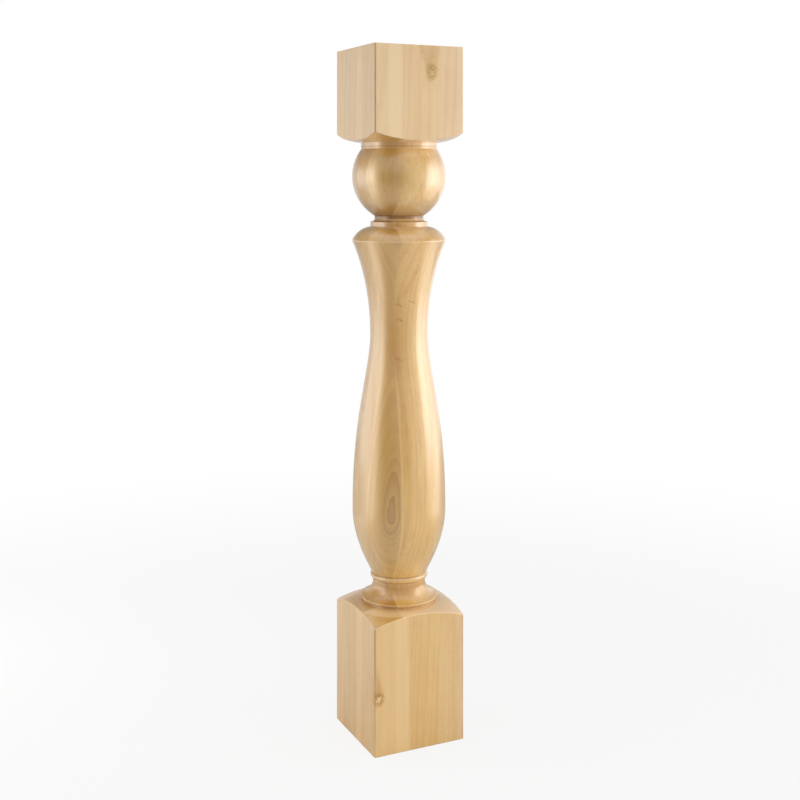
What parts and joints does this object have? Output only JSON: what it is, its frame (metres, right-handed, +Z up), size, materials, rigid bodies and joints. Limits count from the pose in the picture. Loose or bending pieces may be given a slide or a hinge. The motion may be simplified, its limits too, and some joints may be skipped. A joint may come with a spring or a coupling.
{
  "type": "turned post",
  "caption": "Square wooden post, turned between its end blocks into a ball, a collar and a long tapering vase on a flared base ring; stands under a worktop or in a railing.",
  "frame": {"origin": "centre of the square underside, on the floor", "axes": "+Z up the turning axis, +X and +Y square to the flat faces of the end blocks"},
  "size_m": [0.127, 0.127, 0.9017],
  "materials": {
    "lacquered_maple": "pale glued-up maple under a clear semi-gloss lacquer"
  },
  "bodies": {
    "root": {"turned_post": "lacquered_maple"}
  },
  "joints": []
}
